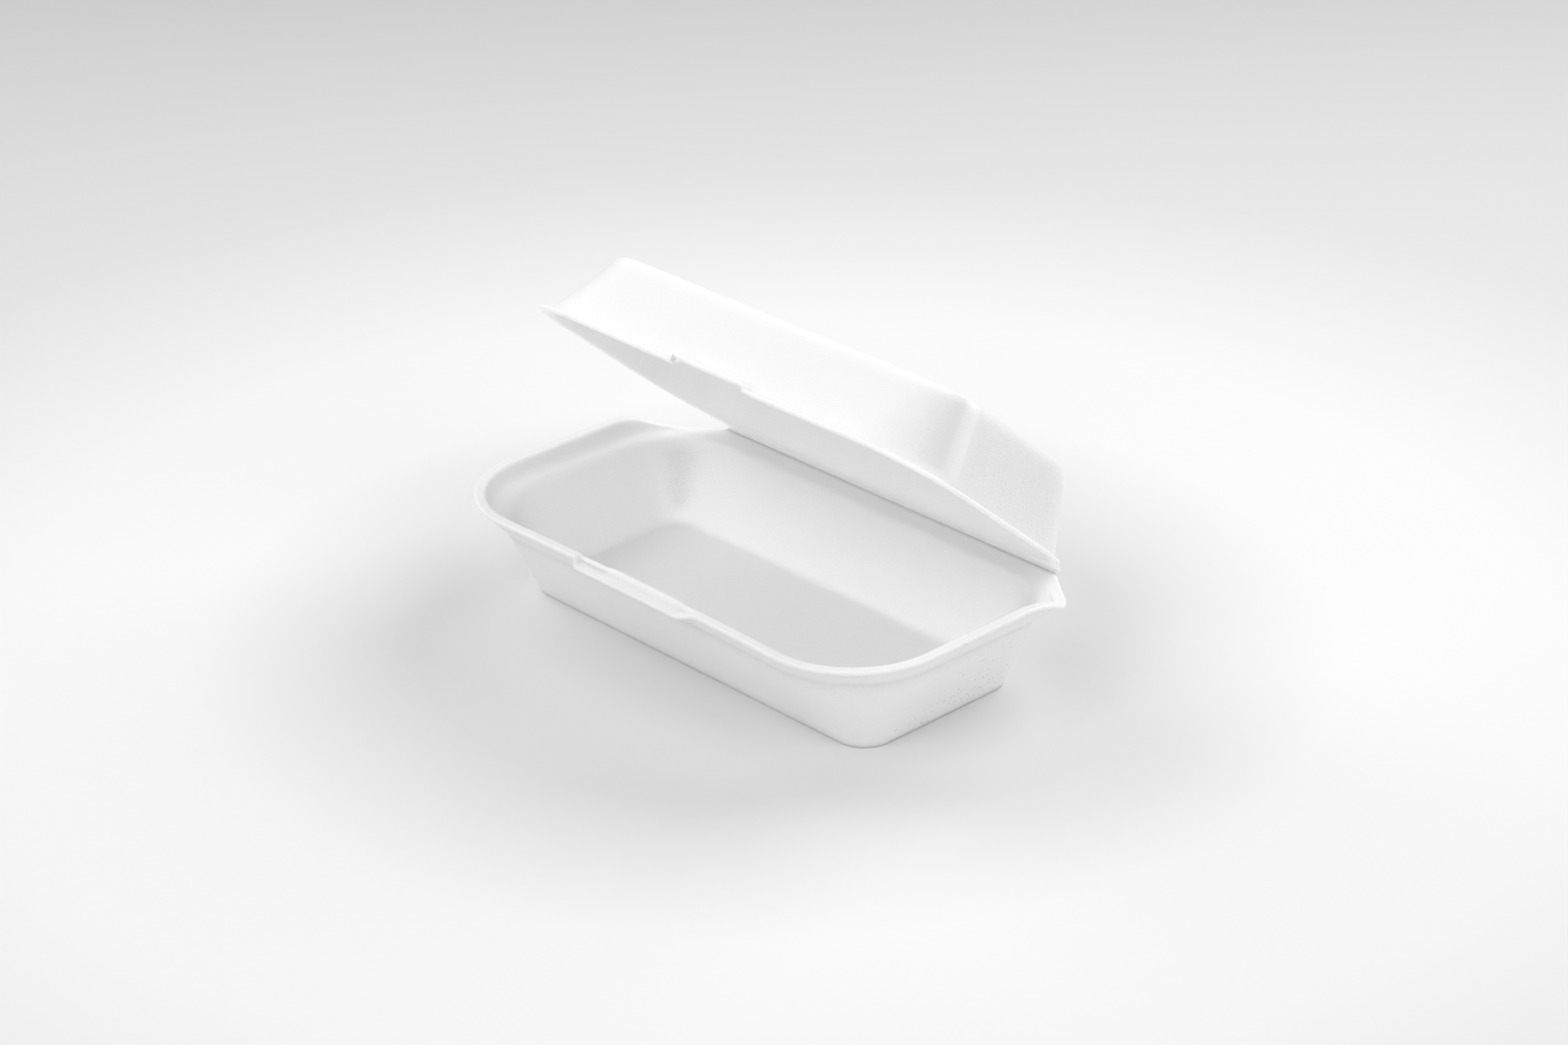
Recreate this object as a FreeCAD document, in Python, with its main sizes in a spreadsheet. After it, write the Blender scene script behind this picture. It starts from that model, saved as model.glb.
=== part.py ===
import FreeCAD, Part
import math
import os
import Sketcher

# Hinged food box formed from one sheet of white foam: a tray with a raised rim, and a lid that
# nests inside that rim. X runs along the crease, Y from the front to the crease, Z up.
# The origin is the centre of the tray's flat underside. The lid stands open, as it rests.

SIZES = {
    "rim_length": 190.0,
    "rim_rise": 7.7,
    "front_reach": 55.0,
    "front_bow_radius": 1530.0,
    "front_corner_radius": 33.4,
    "crease_reach": 52.6,
    "corner_cut": 21.0,
    "corner_angle": 38.0,
    "back_corner_radius": 20.0,
    "wall_thickness": 2.2,
    "flange_thickness": 1.2,
    "flange_overhang": 1.8,
    "rim_draft": 0.4,
    "shoulder_drop": 3.3,
    "shoulder_width": 4.0,
    "bend_drop": 0.9,
    "shoulder_rounding": 4.7,
    "ledge_height": 28.5,
    "ledge_tilt": 1.8,
    "ledge_width": 3.6,
    "back_ledge_width": 9.0,
    "ledge_back_radius": 24.0,
    "mouth_land": 0.2,
    "mouth_ease": 1.6,
    "mouth_ease_width": 1.3,
    "tray_wall_run": 2.7,
    "tray_floor_inset": 1.5,
    "foot_side_flare": 18.15,
    "foot_front_flare": 21.9,
    "foot_back_flare": 19.5,
    "foot_radius": 10.0,
    "foot_fillet": 2.5,
    "floor_fillet": 6.0,
    "ramp_start": 17.0,
    "ramp_end": 48.0,
    "crease_gap": 1.2,
    "crease_clearance": 0.2,
    "lid_clearance": 0.5,
    "lid_corner_angle": 54.0,
    "lid_back_corner_radius": 40.0,
    "lid_flange_width": 3.0,
    "lid_back_flange_width": 5.0,
    "lid_back_radius": 24.0,
    "lid_depth": 27.3,
    "lid_wall_run": 2.4,
    "lid_top_inset": 1.5,
    "lid_side_flare": 15.5,
    "lid_front_flare": 20.5,
    "lid_back_flare": 15.4,
    "lid_top_radius": 18.5,
    "lid_top_fillet": 4.0,
    "lid_inner_fillet": 3.0,
    "tongue_left": -26.8,
    "tongue_right": 18.8,
    "tongue_end": 28.4,
    "tongue_rise": 1.0,
    "tongue_drop": 3.3,
    "tongue_reach": 1.4,
    "tongue_crest_setback": 0.4,
    "tongue_lip_depth": 0.84,
    "tongue_lip_setback": 0.6,
    "tongue_root_depth": 0.9,
    "flap_left": -15.6,
    "flap_right": 16.0,
    "flap_lift": 1.7,
    "flap_bite": 1.2,
    "open_angle": 40.4,
    "tool_overrun": 5.0,
}

doc = FreeCAD.newDocument("foam_box")
sheet = doc.addObject("Spreadsheet::Sheet", "Sizes")
for row, (word, number) in enumerate(SIZES.items(), start=1):
    sheet.set(f"A{row}", word)
    sheet.set(f"B{row}", str(number))
    sheet.setAlias(f"B{row}", word)
doc.recompute()

# Places that more than one feature uses, written with the words of the sheet
RIM_TOP = "(Sizes.ledge_height + Sizes.rim_rise)"
RIM_INSET = "(Sizes.flange_overhang + Sizes.wall_thickness)"
RIM_FOOT_INSET = f"({RIM_INSET} + Sizes.rim_draft)"
CREASE_HALF = "(Sizes.rim_length / 2 - Sizes.corner_cut)"
LEDGE_INSET = f"({RIM_FOOT_INSET} + Sizes.ledge_width)"
MOUTH_INSET = f"({LEDGE_INSET} + Sizes.mouth_land)"
THROAT_INSET = f"({MOUTH_INSET} + Sizes.mouth_ease_width)"
SHOULDER_INSET = "(Sizes.flange_overhang + Sizes.rim_draft)"
WALL_INSET = f"({SHOULDER_INSET} + Sizes.shoulder_width)"
LEDGE_PIVOT = "(Sizes.crease_reach + Sizes.tool_overrun)"
LEDGE_RISE = f"((Sizes.front_reach + {LEDGE_PIVOT}) * tan(Sizes.ledge_tilt * 1 deg))"
LID_INSET = f"({RIM_FOOT_INSET} + Sizes.lid_clearance)"
LID_WALL_INSET = f"({LID_INSET} + Sizes.lid_flange_width)"
LID_BASE = "(Sizes.ledge_height + Sizes.crease_gap)"
LID_TOP = f"({LID_BASE} + Sizes.lid_depth)"
CREASE_AXIS = "(Sizes.ledge_height + Sizes.crease_gap / 2)"
CREASE_RADIUS = "(Sizes.crease_gap / 2 + Sizes.flange_thickness)"

# How far from its stated height an edge may lie and still count as level with it
LEVEL_ERROR = 0.01


def value(expression):
    """The number that an expression of the sheet's words gives."""
    result = sheet.evalExpression(expression.replace("Sizes.", ""))
    return float(getattr(result, "Value", result))


def new_body(label):
    body = doc.addObject("PartDesign::Body", label)
    body.Label = label
    return body


def new_sketch(body, name, role, offset="0", tilted=False):
    """A sketch on one of the body's origin planes, moved along the plane's normal.

    A tilted one rises towards the front about a line behind the crease, at the stated height.
    """
    plane = next(f for f in body.Origin.OriginFeatures if f.Role == role)
    sketch = body.newObject("Sketcher::SketchObject", name)
    sketch.AttachmentSupport = (plane, [""])
    sketch.MapMode = "FlatFace"
    angle = value("Sizes.ledge_tilt") if tilted else 0.0
    turn = FreeCAD.Rotation(FreeCAD.Vector(-1, 0, 0), angle)
    sketch.AttachmentOffset = FreeCAD.Placement(FreeCAD.Vector(0, 0, value(offset)), turn)
    if tilted:
        rise = f"({LEDGE_PIVOT}) * tan(Sizes.ledge_tilt * 1 deg)"
        sketch.setExpression("AttachmentOffset.Base.z", f"{offset} + {rise}")
        sketch.setExpression("AttachmentOffset.Rotation.Angle", "Sizes.ledge_tilt * 1 deg")
    else:
        sketch.setExpression("AttachmentOffset.Base.z", offset)
    return sketch


def bind(sketch, name, expression, kind, *where):
    """A named dimension whose size follows the sheet."""
    unit = "1 deg" if kind == "Angle" else "1 mm"
    number = value(expression)
    if kind == "Angle":
        number = math.radians(number)
    index = sketch.addConstraint(Sketcher.Constraint(kind, *where, number))
    sketch.renameConstraint(index, name)
    sketch.setExpression(f"Constraints.{name}", f"({expression}) * {unit}")


def point(x, y):
    return FreeCAD.Vector(x, y, 0)


def arc(center, radius, start, end):
    """An arc from one angle to another, in degrees, counter-clockwise."""
    circle = Part.Circle(center, FreeCAD.Vector(0, 0, 1), radius)
    return Part.ArcOfCircle(circle, math.radians(start), math.radians(end))


def polygon(sketch, corners):
    """A closed outline of straight lines whose corners are (name, x, y) expressions."""
    count = len(corners)
    spots = [point(value(x), value(y)) for _, x, y in corners]
    for i in range(count):
        sketch.addGeometry(Part.LineSegment(spots[i], spots[(i + 1) % count]), False)
    for i in range(count):
        sketch.addConstraint(Sketcher.Constraint("Coincident", i, 2, (i + 1) % count, 1))
    for i, (name, x, y) in enumerate(corners):
        bind(sketch, f"{name}_across", x, "DistanceX", -1, 1, i, 1)
        bind(sketch, f"{name}_up", y, "DistanceY", -1, 1, i, 1)


def front_arc_ends(bow_radius, bow_center, half, corner_radius):
    """Where the bowed front meets its corner arc: the corner's centre and the joining angle."""
    center_x = half - corner_radius
    reach = bow_radius + corner_radius
    angle = math.degrees(math.acos(center_x / reach))
    center_y = bow_center + reach * math.sin(math.radians(angle))
    return center_x, center_y, angle


def flange_outline(body, name, height, inset, overrun, angle, back_radius, cut_shift, tilted=False):
    """The cut edge seen from above, inset: bowed front, round front corners, slanted back corners."""
    half = f"Sizes.rim_length / 2 - {inset}"
    bow = f"Sizes.front_bow_radius + {inset}"
    bow_middle = "-(Sizes.front_reach + Sizes.front_bow_radius)"
    corner = f"Sizes.front_corner_radius - {inset}"
    back = f"Sizes.crease_reach + {overrun}"
    back_half = f"{CREASE_HALF} - {cut_shift} - {overrun} / tan({angle} * 1 deg)"
    sketch = new_sketch(body, name, "XY_Plane", height, tilted)
    h, r, rb = value(half), value(corner), value(back_radius)
    xr, yr, a = front_arc_ends(value(bow), value(bow_middle), h, r)
    xb, yb, cut = value(back_half), value(back), value(angle)
    # the back arc's centre lies one radius inside both the side and the slanted line
    outward = point(math.sin(math.radians(cut)), math.cos(math.radians(cut)))
    xc = h - rb
    yc = yb - (rb + (xc - xb) * outward.x) / outward.y
    start = point(xc, yc) + outward * rb
    outline = [
        arc(point(0, value(bow_middle)), value(bow), a, 180 - a),
        arc(point(xr, yr), r, 180 + a, 360),
        Part.LineSegment(point(h, yr), point(h, yc)),
        arc(point(xc, yc), rb, 0, 90 - cut),
        Part.LineSegment(start, point(xb, yb)),
        Part.LineSegment(point(xb, yb), point(-xb, yb)),
        Part.LineSegment(point(-xb, yb), point(-start.x, start.y)),
        arc(point(-xc, yc), rb, 90 + cut, 180),
        Part.LineSegment(point(-h, yc), point(-h, yr)),
        arc(point(-xr, yr), r, 180, 360 - a),
    ]
    for edge in outline:
        sketch.addGeometry(edge, False)
    joins = [(0, 1, 1, 1), (1, 2, 2, 1), (2, 2, 3, 1), (3, 2, 4, 1), (6, 2, 7, 1), (7, 2, 8, 1),
             (8, 2, 9, 1), (9, 2, 0, 2)]
    for join in joins:
        sketch.addConstraint(Sketcher.Constraint("Tangent", *join))
    sketch.addConstraint(Sketcher.Constraint("Coincident", 4, 2, 5, 1))
    sketch.addConstraint(Sketcher.Constraint("Coincident", 5, 2, 6, 1))
    sketch.addConstraint(Sketcher.Constraint("Vertical", 2))
    sketch.addConstraint(Sketcher.Constraint("Vertical", 8))
    sketch.addConstraint(Sketcher.Constraint("Symmetric", 5, 1, 5, 2, -2))
    sketch.addConstraint(Sketcher.Constraint("PointOnObject", 0, 3, -2))
    sketch.addConstraint(Sketcher.Constraint("Equal", 1, 9))
    sketch.addConstraint(Sketcher.Constraint("Equal", 3, 7))
    bind(sketch, "bow", bow, "Radius", 0)
    bind(sketch, "bow_middle", bow_middle, "DistanceY", -1, 1, 0, 3)
    bind(sketch, "corner", corner, "Radius", 1)
    bind(sketch, "right_side", half, "DistanceX", -1, 1, 2, 1)
    bind(sketch, "left_side", half, "DistanceX", 8, 2, -1, 1)
    bind(sketch, "back_corner", back_radius, "Radius", 3)
    bind(sketch, "back_half", back_half, "DistanceX", -1, 1, 5, 1)
    bind(sketch, "back", back, "DistanceY", -1, 1, 5, 1)
    bind(sketch, "right_slant", f"180 - {angle}", "Angle", 4)
    bind(sketch, "left_slant", f"{angle} - 180", "Angle", 6)
    return sketch


def box_outline(body, name, height, half, front, back, front_radius, back_radius, bow=None,
                tilted=False):
    """A rounded rectangle seen from above, with a bowed front where bow gives its radius."""
    sketch = new_sketch(body, name, "XY_Plane", height, tilted)
    h, yf, yb = value(half), value(front), value(back)
    rf, rb = value(front_radius), value(back_radius)
    xf, xb = h - rf, h - rb
    if bow:
        bow_middle = f"{front} - ({bow})"
        xf, ya, a = front_arc_ends(value(bow), value(bow_middle), h, rf)
        first = arc(point(0, value(bow_middle)), value(bow), a, 180 - a)
        starts = [180 + a, 360 - a]
    else:
        ya = yf + rf
        first = Part.LineSegment(point(-xf, yf), point(xf, yf))
        starts = [270, 270]
    outline = [
        first,
        arc(point(xf, ya), rf, starts[0], 360),
        Part.LineSegment(point(h, ya), point(h, yb - rb)),
        arc(point(xb, yb - rb), rb, 0, 90),
        Part.LineSegment(point(xb, yb), point(-xb, yb)),
        arc(point(-xb, yb - rb), rb, 90, 180),
        Part.LineSegment(point(-h, yb - rb), point(-h, ya)),
        arc(point(-xf, ya), rf, 180, starts[1]),
    ]
    for edge in outline:
        sketch.addGeometry(edge, False)
    left_end, right_end = (2, 1) if bow else (1, 2)
    joins = [(0, right_end, 1, 1), (1, 2, 2, 1), (2, 2, 3, 1), (3, 2, 4, 1), (4, 2, 5, 1), (5, 2, 6, 1),
             (6, 2, 7, 1), (7, 2, 0, left_end)]
    for join in joins:
        sketch.addConstraint(Sketcher.Constraint("Tangent", *join))
    sketch.addConstraint(Sketcher.Constraint("Vertical", 2))
    sketch.addConstraint(Sketcher.Constraint("Vertical", 6))
    sketch.addConstraint(Sketcher.Constraint("Horizontal", 4))
    sketch.addConstraint(Sketcher.Constraint("Equal", 1, 7))
    sketch.addConstraint(Sketcher.Constraint("Equal", 3, 5))
    if bow:
        sketch.addConstraint(Sketcher.Constraint("PointOnObject", 0, 3, -2))
        bind(sketch, "bow", bow, "Radius", 0)
        bind(sketch, "bow_middle", bow_middle, "DistanceY", -1, 1, 0, 3)
    else:
        sketch.addConstraint(Sketcher.Constraint("Horizontal", 0))
        bind(sketch, "front", front, "DistanceY", -1, 1, 0, 1)
    bind(sketch, "front_corner", front_radius, "Radius", 1)
    bind(sketch, "back_corner", back_radius, "Radius", 3)
    bind(sketch, "right_side", half, "DistanceX", -1, 1, 2, 1)
    bind(sketch, "left_side", half, "DistanceX", 6, 2, -1, 1)
    bind(sketch, "back", back, "DistanceY", -1, 1, 4, 1)
    return sketch


def ramp_profile(body, name, drop, far_height):
    """Side view of the flange's surface: level, then an even double bend down to the ledge."""
    near = "-(Sizes.front_reach + Sizes.tool_overrun)"
    far = "Sizes.crease_reach + Sizes.tool_overrun"
    high = f"{RIM_TOP} - {drop}"
    low = f"Sizes.ledge_height - {drop}"
    sketch = new_sketch(body, name, "YZ_Plane")
    y0, y1, y2, y3 = value(near), value("Sizes.ramp_start"), value("Sizes.ramp_end"), value(far)
    z1, z2, z3 = value(high), value(low), value(far_height)
    run, rise = (y2 - y1) / 2, (z1 - z2) / 2
    radius = (run ** 2 + rise ** 2) / (2 * rise)
    turn = math.degrees(math.asin(run / radius))
    outline = [
        Part.LineSegment(point(y0, z1), point(y1, z1)),
        arc(point(y1, z1 - radius), radius, 90 - turn, 90),
        arc(point(y2, z2 + radius), radius, 270 - turn, 270),
        Part.LineSegment(point(y2, z2), point(y3, z2)),
        Part.LineSegment(point(y3, z2), point(y3, z3)),
        Part.LineSegment(point(y3, z3), point(y0, z3)),
        Part.LineSegment(point(y0, z3), point(y0, z1)),
    ]
    for edge in outline:
        sketch.addGeometry(edge, False)
    for join in [(0, 2, 1, 2), (1, 1, 2, 1), (2, 2, 3, 1)]:
        sketch.addConstraint(Sketcher.Constraint("Tangent", *join))
    for join in [(3, 2, 4, 1), (4, 2, 5, 1), (5, 2, 6, 1), (6, 2, 0, 1)]:
        sketch.addConstraint(Sketcher.Constraint("Coincident", *join))
    for edge in (0, 3, 5):
        sketch.addConstraint(Sketcher.Constraint("Horizontal", edge))
    for edge in (4, 6):
        sketch.addConstraint(Sketcher.Constraint("Vertical", edge))
    sketch.addConstraint(Sketcher.Constraint("Equal", 1, 2))
    bind(sketch, "near", near, "DistanceX", -1, 1, 0, 1)
    bind(sketch, "high", high, "DistanceY", -1, 1, 0, 1)
    bind(sketch, "ramp_start", "Sizes.ramp_start", "DistanceX", -1, 1, 0, 2)
    bind(sketch, "ramp_end", "Sizes.ramp_end", "DistanceX", -1, 1, 3, 1)
    bind(sketch, "low", low, "DistanceY", -1, 1, 3, 1)
    bind(sketch, "far", far, "DistanceX", -1, 1, 3, 2)
    bind(sketch, "far_height", far_height, "DistanceY", -1, 1, 5, 1)
    return sketch


def pad(body, name, sketch, length):
    feature = body.newObject("PartDesign::Pad", name)
    feature.Profile = sketch
    feature.Length = value(length)
    feature.setExpression("Length", length)
    return feature


def pocket_across(body, name, sketch, length):
    """Cuts a side view away over the whole length of the box."""
    feature = body.newObject("PartDesign::Pocket", name)
    feature.Profile = sketch
    feature.Midplane = True
    feature.Length = value(length)
    feature.setExpression("Length", length)
    return feature


def loft(body, name, kind, sections):
    feature = body.newObject(f"PartDesign::{kind}Loft", name)
    feature.Profile = sections[0]
    feature.Sections = [(section, [""]) for section in sections[1:]]
    feature.Ruled = True
    return feature


def round_edges(body, name, radius, chosen):
    """Rounds the edges of the newest feature that the test chooses."""
    doc.recompute()
    base = body.Tip
    names = [f"Edge{i}" for i, edge in enumerate(base.Shape.Edges, start=1) if chosen(edge)]
    feature = body.newObject("PartDesign::Fillet", name)
    feature.Base = (base, names)
    feature.Radius = value(radius)
    feature.setExpression("Radius", radius)
    return feature


def level_edges(height):
    """A test for edges that lie flat at a height."""
    z = value(height)

    def chosen(edge):
        box = edge.BoundBox
        return abs(box.ZMin - z) < LEVEL_ERROR and abs(box.ZMax - z) < LEVEL_ERROR

    return chosen


def tray_flange(body):
    """The rim's thin flange: level at the front and sides, bending down to the ledge at the back."""
    low = "Sizes.ledge_height - Sizes.flange_thickness"
    outline = flange_outline(body, "flange_outline", low, "0", "0", "Sizes.corner_angle",
                             "Sizes.back_corner_radius", "0")
    pad(body, "flange_block", outline, f"{RIM_TOP} - ({low})")
    under = ramp_profile(body, "flange_under_profile", "Sizes.flange_thickness", "-Sizes.tool_overrun")
    pocket_across(body, "flange_under", under, "Sizes.rim_length + Sizes.tool_overrun")
    doc.recompute()


def shell_outline(body, name, height, inset, back_inset, front_radius, back_radius, tilted=False):
    """A bowed, rounded outline of the sloped wall, inset from the rim's cut edge."""
    return box_outline(body, name, height, f"Sizes.rim_length / 2 - {inset}",
                       f"-Sizes.front_reach + {inset}", f"Sizes.crease_reach - {back_inset}",
                       front_radius, back_radius, f"Sizes.front_bow_radius + {inset}", tilted)


def foot_outline(body, name, height, inset):
    return box_outline(body, name, height, f"Sizes.rim_length / 2 - Sizes.foot_side_flare - {inset}",
                       f"-(Sizes.front_reach - Sizes.foot_front_flare) + {inset}",
                       f"Sizes.crease_reach - Sizes.foot_back_flare - {inset}",
                       f"Sizes.foot_radius - {inset}", f"Sizes.foot_radius - {inset}")


def rim_outline(body, name, height, inset, overrun, tilted=False):
    """The raised rim's wall seen from above; its slanted corners keep the same inset."""
    return flange_outline(body, name, height, inset, overrun, "Sizes.corner_angle",
                          f"Sizes.back_corner_radius - {inset}",
                          f"{inset} / sin(Sizes.corner_angle * 1 deg)", tilted)


def wall_radius(inset):
    """The sloped wall's front corner radius, larger than the rim's so that the ledge widens there."""
    return f"Sizes.front_corner_radius - {inset} + Sizes.shoulder_rounding"


def tray_shell(body):
    """Outer form: the sloped wall, the slanted shoulder under the rim, and the rim's short wall.

    The shoulder and the ledge above it rise a little towards the front.
    """
    top = f"({RIM_TOP} - Sizes.shoulder_drop - {LEDGE_RISE})"
    bend = "Sizes.ledge_height - Sizes.bend_drop"
    foot = foot_outline(body, "foot_outline", "0", "0")
    back_radius = "Sizes.ledge_back_radius + Sizes.tray_wall_run"
    wall_top = shell_outline(body, "wall_top_outline", bend, WALL_INSET,
                             "(Sizes.back_ledge_width - Sizes.tray_wall_run)", wall_radius(WALL_INSET),
                             back_radius)
    shoulder_top = shell_outline(body, "shoulder_top_outline", top, SHOULDER_INSET, SHOULDER_INSET,
                                 f"Sizes.front_corner_radius - {SHOULDER_INSET}", back_radius, True)
    loft(body, "shell_outer", "Additive", [foot, wall_top, shoulder_top])
    round_edges(body, "foot_rounding", "Sizes.foot_fillet", level_edges("0"))
    rim_foot = rim_outline(body, "rim_outer_foot", top, SHOULDER_INSET, f"(-{SHOULDER_INSET})", True)
    rim_head = rim_outline(body, "rim_outer_top", RIM_TOP, "Sizes.flange_overhang",
                           f"(-{SHOULDER_INSET})")
    loft(body, "rim_outer", "Additive", [rim_foot, rim_head])
    profile = ramp_profile(body, "rim_top_profile", "0", f"{RIM_TOP} + Sizes.tool_overrun")
    pocket_across(body, "rim_top", profile, "Sizes.rim_length + Sizes.tool_overrun")
    doc.recompute()


def tray_cavity(body):
    """Inner form: the room inside the rim that the lid nests in, its slanted ledge, and the cavity."""
    past_crease = "Sizes.tool_overrun / 2"
    rim_foot = rim_outline(body, "rim_inner_foot", "Sizes.ledge_height", RIM_FOOT_INSET, past_crease, True)
    rim_head = rim_outline(body, "rim_inner_top", RIM_TOP, RIM_INSET, past_crease)
    loft(body, "rim_inner", "Subtractive", [rim_foot, rim_head])
    ledge_foot = rim_outline(body, "ledge_foot", "Sizes.ledge_height", LEDGE_INSET, past_crease)
    ledge_head = rim_outline(body, "ledge_head", "Sizes.ledge_height", RIM_FOOT_INSET, past_crease, True)
    loft(body, "ledge", "Subtractive", [ledge_foot, ledge_head])
    floor = foot_outline(body, "floor_outline", "Sizes.wall_thickness", "Sizes.tray_floor_inset")
    throat = shell_outline(body, "throat_outline", "Sizes.ledge_height - Sizes.mouth_ease", THROAT_INSET,
                           "(Sizes.back_ledge_width + Sizes.mouth_ease_width)",
                           wall_radius(THROAT_INSET), "Sizes.ledge_back_radius - Sizes.mouth_ease_width")
    mouth = shell_outline(body, "mouth_outline", "Sizes.ledge_height", MOUTH_INSET,
                          "Sizes.back_ledge_width", wall_radius(MOUTH_INSET), "Sizes.ledge_back_radius")
    loft(body, "cavity", "Subtractive", [floor, throat, mouth])
    round_edges(body, "floor_rounding", "Sizes.floor_fillet", level_edges("Sizes.wall_thickness"))
    doc.recompute()


def tray_crease(body):
    """The bent web of the crease: a curl about the hinge line, which ends where the lid starts."""
    sketch = new_sketch(body, "crease_profile", "YZ_Plane", f"-{CREASE_HALF}")
    middle = point(value("Sizes.crease_reach"), value(CREASE_AXIS))
    inner, outer = value("Sizes.crease_gap / 2"), value(CREASE_RADIUS)
    end = 90 - value("Sizes.open_angle")
    edge = FreeCAD.Vector(math.cos(math.radians(end)), math.sin(math.radians(end)), 0)
    down = point(0, -1)
    sketch.addGeometry(arc(middle, outer, -90, end), False)
    sketch.addGeometry(arc(middle, inner, -90, end), False)
    sketch.addGeometry(Part.LineSegment(middle + down * inner, middle + down * outer), False)
    sketch.addGeometry(Part.LineSegment(middle + edge * inner, middle + edge * outer), False)
    for join in [(2, 1, 1, 1), (2, 2, 0, 1), (3, 1, 1, 2), (3, 2, 0, 2), (0, 3, 1, 3)]:
        sketch.addConstraint(Sketcher.Constraint("Coincident", *join))
    sketch.addConstraint(Sketcher.Constraint("Vertical", 2))
    sketch.addConstraint(Sketcher.Constraint("PointOnObject", 0, 3, 3))
    bind(sketch, "axis_across", "Sizes.crease_reach", "DistanceX", -1, 1, 0, 3)
    bind(sketch, "axis_up", CREASE_AXIS, "DistanceY", -1, 1, 0, 3)
    bind(sketch, "web_start", "Sizes.crease_reach", "DistanceX", -1, 1, 2, 1)
    bind(sketch, "outer", CREASE_RADIUS, "Radius", 0)
    bind(sketch, "inner", "Sizes.crease_gap / 2", "Radius", 1)
    bind(sketch, "web_end", "90 - Sizes.open_angle", "Angle", 3)
    pad(body, "crease_web", sketch, f"2 * {CREASE_HALF}")
    doc.recompute()


def latch_tongue(body):
    """The front latch: a strip of the rim, cut free at its left and tilted outward and down."""
    front = "-Sizes.front_reach"
    rim = RIM_TOP
    wall_in = f"{front} + {RIM_INSET}"
    crest = f"{wall_in} - Sizes.tongue_crest_setback"
    lip = f"{front} - Sizes.tongue_reach"
    low = f"{rim} - Sizes.tongue_drop"
    root = f"{rim} - Sizes.flange_thickness - Sizes.tongue_root_depth"
    clear = f"{rim} + Sizes.tool_overrun"
    away = f"{lip} - Sizes.tool_overrun"
    tilted = [("crest", crest, f"{rim} + Sizes.tongue_rise"), ("lip", lip, low),
              ("lip_under", f"{lip} + Sizes.tongue_lip_setback", f"{low} - Sizes.tongue_lip_depth"),
              ("root_out", f"{front} + Sizes.flange_overhang", root), ("root_in", wall_in, root)]
    level = [("crest", crest, rim), ("lip", front, rim),
             ("lip_under", front, f"{rim} - Sizes.flange_thickness"),
             ("root_out", f"{front} + Sizes.flange_overhang", f"{rim} - Sizes.flange_thickness"),
             ("root_in", wall_in, root)]
    tilted_room = [tilted[0], tilted[1], ("low_away", away, low), ("high_away", away, clear),
                   ("high", crest, clear)]
    level_room = [level[0], level[1], ("low_away", away, rim), ("high_away", away, clear),
                  ("high", crest, clear)]
    places = ["Sizes.tongue_left", "Sizes.tongue_right", "Sizes.tongue_end"]
    for name, kind, profiles in (("latch_room", "Subtractive", [tilted_room, tilted_room, level_room]),
                                 ("latch_tongue", "Additive", [tilted, tilted, level])):
        sections = []
        for number, (place, profile) in enumerate(zip(places, profiles), start=1):
            sketch = new_sketch(body, f"{name}_section_{number}", "YZ_Plane", place)
            polygon(sketch, profile)
            sections.append(sketch)
        loft(body, name, kind, sections)
        doc.recompute()


def make_tray():
    body = new_body("tray")
    tray_flange(body)
    tray_shell(body)
    tray_cavity(body)
    tray_crease(body)
    latch_tongue(body)
    return body


def lid_shell(body):
    """The closed lid: its thin flange, the sloped walls and the flat top, hollow from below."""
    edge = flange_outline(body, "lid_outline", LID_BASE, LID_INSET, "0", "Sizes.lid_corner_angle",
                          "Sizes.lid_back_corner_radius", "0")
    pad(body, "lid_flange", edge, "Sizes.flange_thickness")
    wall = shell_outline(body, "lid_wall_outline", LID_BASE, LID_WALL_INSET,
                         "Sizes.lid_back_flange_width", f"Sizes.front_corner_radius - {LID_WALL_INSET}",
                         "Sizes.lid_back_radius")
    top = lid_top_outline(body, "lid_top_outline", LID_TOP, "0")
    loft(body, "lid_outer", "Additive", [wall, top])
    round_edges(body, "lid_top_rounding", "Sizes.lid_top_fillet", level_edges(LID_TOP))
    inside = f"({LID_WALL_INSET} + Sizes.lid_wall_run)"
    mouth = shell_outline(body, "lid_mouth_outline", LID_BASE, inside,
                          "(Sizes.lid_back_flange_width + Sizes.lid_wall_run)",
                          f"Sizes.front_corner_radius - {inside}",
                          "Sizes.lid_back_radius - Sizes.lid_wall_run")
    ceiling_height = f"{LID_TOP} - Sizes.wall_thickness"
    ceiling = lid_top_outline(body, "lid_ceiling_outline", ceiling_height, "Sizes.lid_top_inset")
    loft(body, "lid_cavity", "Subtractive", [mouth, ceiling])
    round_edges(body, "lid_inner_rounding", "Sizes.lid_inner_fillet", level_edges(ceiling_height))
    doc.recompute()


def lid_top_outline(body, name, height, inset):
    return box_outline(body, name, height, f"Sizes.rim_length / 2 - Sizes.lid_side_flare - {inset}",
                       f"-(Sizes.front_reach - Sizes.lid_front_flare) + {inset}",
                       f"Sizes.crease_reach - Sizes.lid_back_flare - {inset}",
                       f"Sizes.lid_top_radius - {inset}", f"Sizes.lid_top_radius - {inset}")


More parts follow.
